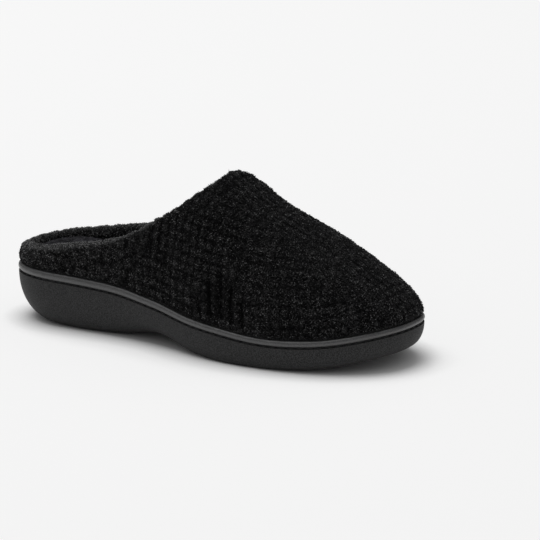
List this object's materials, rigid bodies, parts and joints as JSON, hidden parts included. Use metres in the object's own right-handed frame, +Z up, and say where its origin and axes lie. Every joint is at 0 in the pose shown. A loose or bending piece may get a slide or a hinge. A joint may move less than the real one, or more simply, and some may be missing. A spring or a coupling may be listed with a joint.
{
  "type": "scuff slipper",
  "caption": "Closed-toe slip-on house slipper with a plush padded upper, a low rolled heel collar and a moulded wedge sole.",
  "frame": {"origin": "on the floor under the middle of the slipper's box, which is the sole's box seen from above", "axes": "-Y towards the toe, +Y towards the heel, -X to the outer side of the right foot, +Z up"},
  "size_m": [0.0986, 0.265, 0.102],
  "materials": {
    "sole_rubber": "matt, finely stippled moulded rubber",
    "terry": "short looped pile in small tufts, padded",
    "insole_fleece": "smooth short fleece over foam"
  },
  "bodies": {
    "root": {"outsole": "sole_rubber", "upper": "terry", "insole": "insole_fleece"}
  },
  "joints": []
}
